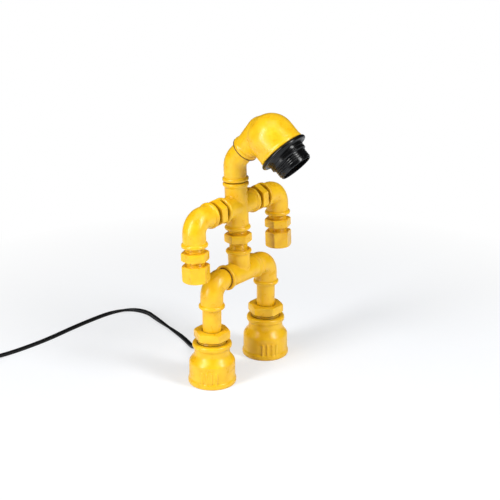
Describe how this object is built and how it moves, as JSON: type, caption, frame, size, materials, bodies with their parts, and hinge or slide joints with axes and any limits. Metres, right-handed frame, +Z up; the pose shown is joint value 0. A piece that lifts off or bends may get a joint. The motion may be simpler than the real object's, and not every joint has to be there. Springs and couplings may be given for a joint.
{
  "type": "industrial pipe table lamp",
  "caption": "Table lamp in the form of a standing figure, put together from yellow painted threaded pipe fittings, with a black screw lampholder for a head opening and a black cord.",
  "frame": {"origin": "on the table, under the middle of the lamp without its cord", "axes": "+Z up, the figure faces -Y, its arms lie along X, left is -X"},
  "size_m": [0.4575, 0.3331, 0.3068],
  "materials": {
    "yellow_paint": "semi-gloss yellow enamel on malleable iron",
    "phenolic": "moulded black phenolic",
    "brass": "stamped brass",
    "steel": "nickel plated",
    "soft_pvc": "black soft PVC",
    "cord_jacket": "black PVC flat twin cord",
    "switch_plastic": "moulded black plastic"
  },
  "bodies": {
    "legs": {"left_foot_bell": "yellow_paint", "left_foot_bushing": "yellow_paint", "left_leg_pipe": "yellow_paint", "left_hip_elbow": "yellow_paint", "right_foot_bell": "yellow_paint", "right_foot_bushing": "yellow_paint", "right_leg_pipe": "yellow_paint", "right_hip_elbow": "yellow_paint", "hip_tee": "yellow_paint", "waist_nipple": "yellow_paint", "switch_contacts": "brass", "plug_pins": "steel", "foot_strain_relief": "soft_pvc", "plug_body": "soft_pvc", "lead_in_leg": "cord_jacket", "cord_to_switch": "cord_jacket", "cord_to_coil": "cord_jacket", "cord_to_plug": "cord_jacket", "cord_coil": "cord_jacket", "switch_base": "switch_plastic", "switch_cover": "switch_plastic"},
    "torso": {"torso_cross": "yellow_paint", "left_shoulder_nipple": "yellow_paint", "right_shoulder_nipple": "yellow_paint", "neck_nipple": "yellow_paint", "lead_in_torso": "cord_jacket"},
    "left_arm": {"left_arm_elbow": "yellow_paint", "left_wrist_nipple": "yellow_paint", "left_hand_cap": "yellow_paint"},
    "right_arm": {"right_arm_elbow": "yellow_paint", "right_wrist_nipple": "yellow_paint", "right_hand_cap": "yellow_paint"},
    "neck": {"neck_elbow": "yellow_paint", "lead_in_neck": "cord_jacket"},
    "head": {"head_elbow": "yellow_paint", "lampholder_sleeve": "phenolic", "lampholder_cap": "phenolic", "lampholder_insert": "phenolic", "bulb_screw_shell": "brass", "centre_contact": "brass", "terminal_screws": "steel", "cord_grip": "phenolic", "lead_in_head": "cord_jacket"},
    "ring": {"shade_ring": "phenolic"},
    "rocker": {"switch_rocker": "switch_plastic"}
  },
  "joints": [
    {"name": "waist_turn", "type": "hinge", "parent": "legs", "child": "torso", "pos_m": [0, 0.03165, 0.16883], "axis": [0, 0.0541, 0.9985], "range_deg": [-90, 90]},
    {"name": "left_arm_swing", "type": "hinge", "parent": "torso", "child": "left_arm", "pos_m": [-0.0742, 0.03313, 0.19618], "axis": [-1, 0, 0], "range_deg": [-90, 90]},
    {"name": "right_arm_swing", "type": "hinge", "parent": "torso", "child": "right_arm", "pos_m": [0.0742, 0.03313, 0.19618], "axis": [-1, 0, 0], "range_deg": [-90, 90]},
    {"name": "neck_turn", "type": "hinge", "parent": "torso", "child": "neck", "pos_m": [0, 0.03465, 0.22414], "axis": [0, 0.0541, 0.9985], "range_deg": [-90, 90]},
    {"name": "head_turn", "type": "hinge", "parent": "neck", "child": "head", "pos_m": [0.00097, 0.02215, 0.26241], "axis": [0.0481, -0.6855, 0.7265], "range_deg": [-90, 90]},
    {"name": "shade_ring_travel", "type": "slide", "parent": "head", "child": "ring", "axis": [0.0856, -0.7218, -0.6868], "range_m": [0, 0.01]},
    {"name": "switch_rocker_tilt", "type": "hinge", "parent": "legs", "child": "rocker", "pos_m": [-0.222, 0.265, 0.0116], "axis": [0, -1, 0], "range_deg": [0, 16]}
  ]
}
